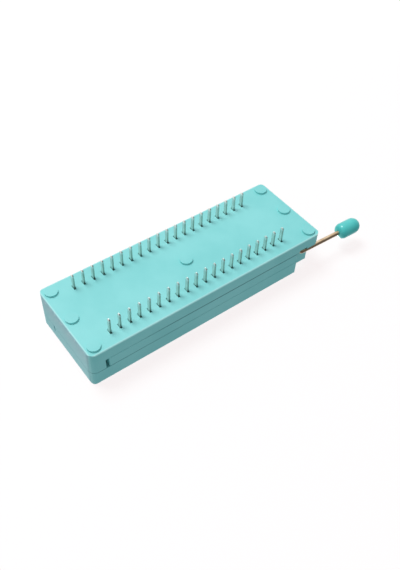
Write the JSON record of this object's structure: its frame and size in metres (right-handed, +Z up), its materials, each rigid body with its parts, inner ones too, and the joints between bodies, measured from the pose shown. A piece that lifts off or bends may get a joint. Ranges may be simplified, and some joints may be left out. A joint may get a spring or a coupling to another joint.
{
  "type": "zif socket",
  "caption": "Long zero-insertion-force socket for dual-in-line chips: slotted cover, sliding actuator, spring contacts with solder tails, and a wire lever with a rounded knob.",
  "frame": {"origin": "centre of the middle standoff's face, where the socket sits on the board's surface", "axes": "+Z up, away from the board, towards the chip side; +X along the body towards the lever end; +Y towards the side on which the lever's arm lies"},
  "size_m": [0.08, 0.0243, 0.0147],
  "materials": {
    "body_plastic": "fine satin moulded turquoise thermoplastic",
    "knob_plastic": "smooth moulded turquoise, slightly darker and glossier than the body",
    "lever_wire": "drawn wire with a pale copper-gold finish",
    "tinned_contact": "tin-plated spring bronze, satin"
  },
  "bodies": {
    "socket": {"base": "body_plastic", "cover": "body_plastic", "contact_a01": "tinned_contact", "contact_a02": "tinned_contact", "contact_a03": "tinned_contact", "contact_a04": "tinned_contact", "contact_a05": "tinned_contact", "contact_a06": "tinned_contact", "contact_a07": "tinned_contact", "contact_a08": "tinned_contact", "contact_a09": "tinned_contact", "contact_a10": "tinned_contact", "contact_a11": "tinned_contact", "contact_a12": "tinned_contact", "contact_a13": "tinned_contact", "contact_a14": "tinned_contact", "contact_a15": "tinned_contact", "contact_a16": "tinned_contact", "contact_a17": "tinned_contact", "contact_a18": "tinned_contact", "contact_a19": "tinned_contact", "contact_a20": "tinned_contact", "contact_b01": "tinned_contact", "contact_b02": "tinned_contact", "contact_b03": "tinned_contact", "contact_b04": "tinned_contact", "contact_b05": "tinned_contact", "contact_b06": "tinned_contact", "contact_b07": "tinned_contact", "contact_b08": "tinned_contact", "contact_b09": "tinned_contact", "contact_b10": "tinned_contact", "contact_b11": "tinned_contact", "contact_b12": "tinned_contact", "contact_b13": "tinned_contact", "contact_b14": "tinned_contact", "contact_b15": "tinned_contact", "contact_b16": "tinned_contact", "contact_b17": "tinned_contact", "contact_b18": "tinned_contact", "contact_b19": "tinned_contact", "contact_b20": "tinned_contact"},
    "actuator": {"slide": "body_plastic"},
    "lever": {"lever_wire": "lever_wire", "lever_knob": "knob_plastic"}
  },
  "joints": [
    {"name": "slide_travel", "type": "slide", "parent": "socket", "child": "actuator", "axis": [1, 0, 0], "range_m": [-0.0008, 0]},
    {"name": "lever_hinge", "type": "hinge", "parent": "socket", "child": "lever", "pos_m": [0.02715, 0, 0.00445], "axis": [0, -1, 0], "range_deg": [0, 90]}
  ],
  "couplings": [
    {"joint": "lever_hinge", "follows": "slide_travel", "rad_per_m": -1963.5}
  ]
}
